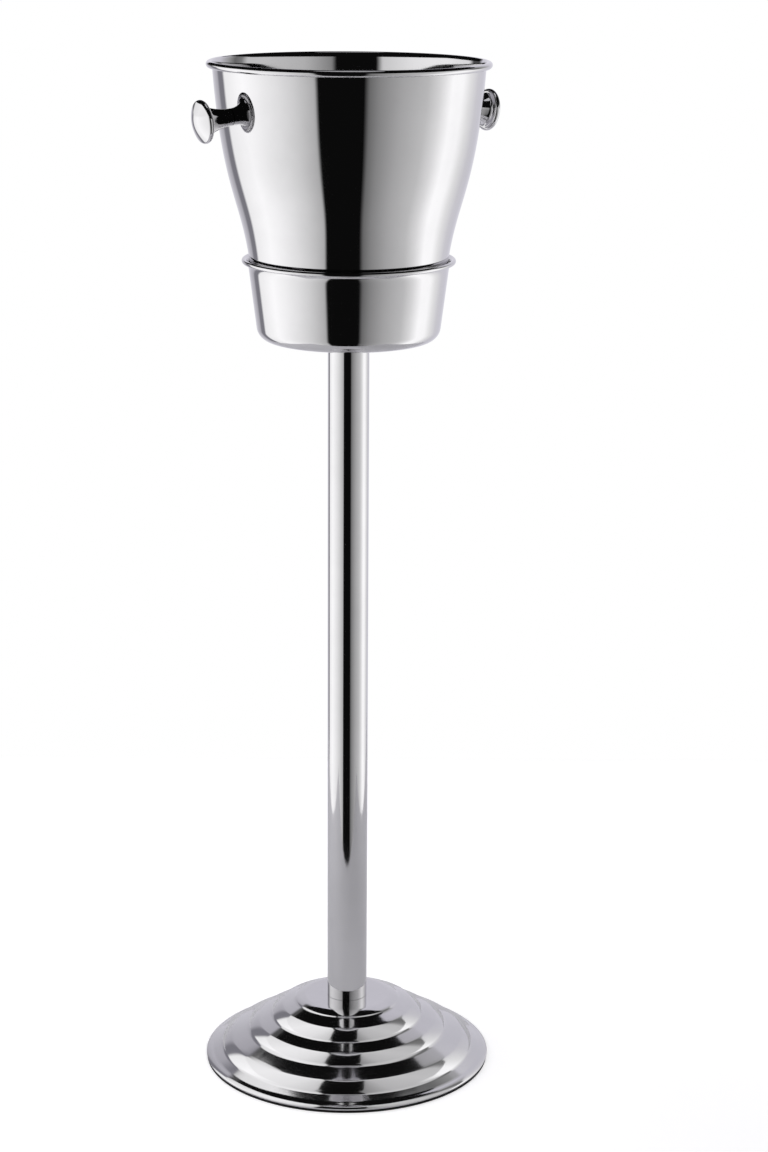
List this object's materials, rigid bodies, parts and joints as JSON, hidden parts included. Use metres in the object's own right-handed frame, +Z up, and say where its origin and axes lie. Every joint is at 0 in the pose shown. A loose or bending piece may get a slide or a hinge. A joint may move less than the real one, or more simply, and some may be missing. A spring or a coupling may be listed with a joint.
{
  "type": "champagne bucket stand",
  "caption": "Free-standing stand with a stepped round foot, a slim column and a holder cup, in which a tapered ice bucket with side knobs rests and lifts out.",
  "frame": {"origin": "on the floor, under the centre of the round foot", "axes": "+Z up along the column; the bucket's two knobs point along +X and -X"},
  "size_m": [0.258, 0.2308, 0.8048],
  "materials": {
    "polished_bucket": "mirror-polished stainless steel, faint spinning lines round the axis",
    "polished_holder_cup": "mirror-polished stainless steel, faint spinning lines round the axis",
    "polished_tube": "mirror-polished stainless steel, polished along its length",
    "polished_base_cover": "mirror-polished stainless steel, spun, a little softer than the bucket",
    "polished_knob": "turned and mirror-polished stainless steel",
    "black_edge_ring": "black moulded rubber, matt",
    "ballast_iron": "raw cast iron, rough",
    "zinc_base_plate": "zinc-plated pressed steel, dull",
    "zinc_fastener": "zinc-plated steel",
    "fastener_steel": "turned stainless steel",
    "plug_steel": "turned steel, oiled",
    "gasket_rubber": "black rubber sealing washer"
  },
  "bodies": {
    "stand": {"base_cover": "polished_base_cover", "base_edge_ring": "black_edge_ring", "base_ballast": "ballast_iron", "base_plate": "zinc_base_plate", "base_plate_screw_1": "fastener_steel", "base_plate_screw_2": "fastener_steel", "base_plate_screw_3": "fastener_steel", "base_washer": "zinc_fastener", "base_spring_washer": "zinc_fastener", "base_bolt": "zinc_fastener", "pole_tube": "polished_tube", "pole_bottom_plug": "plug_steel", "pole_top_plug": "plug_steel", "holder_cup": "polished_holder_cup", "holder_washer": "fastener_steel", "holder_screw": "fastener_steel"},
    "bucket": {"bucket_shell": "polished_bucket", "left_knob": "polished_knob", "right_knob": "polished_knob", "left_knob_gasket": "gasket_rubber", "right_knob_gasket": "gasket_rubber", "left_knob_washer": "fastener_steel", "right_knob_washer": "fastener_steel", "left_knob_screw": "fastener_steel", "right_knob_screw": "fastener_steel"}
  },
  "joints": [
    {"name": "bucket_lift", "type": "slide", "parent": "stand", "child": "bucket", "axis": [0, 0, 1], "range_m": [0, 0.12]}
  ]
}
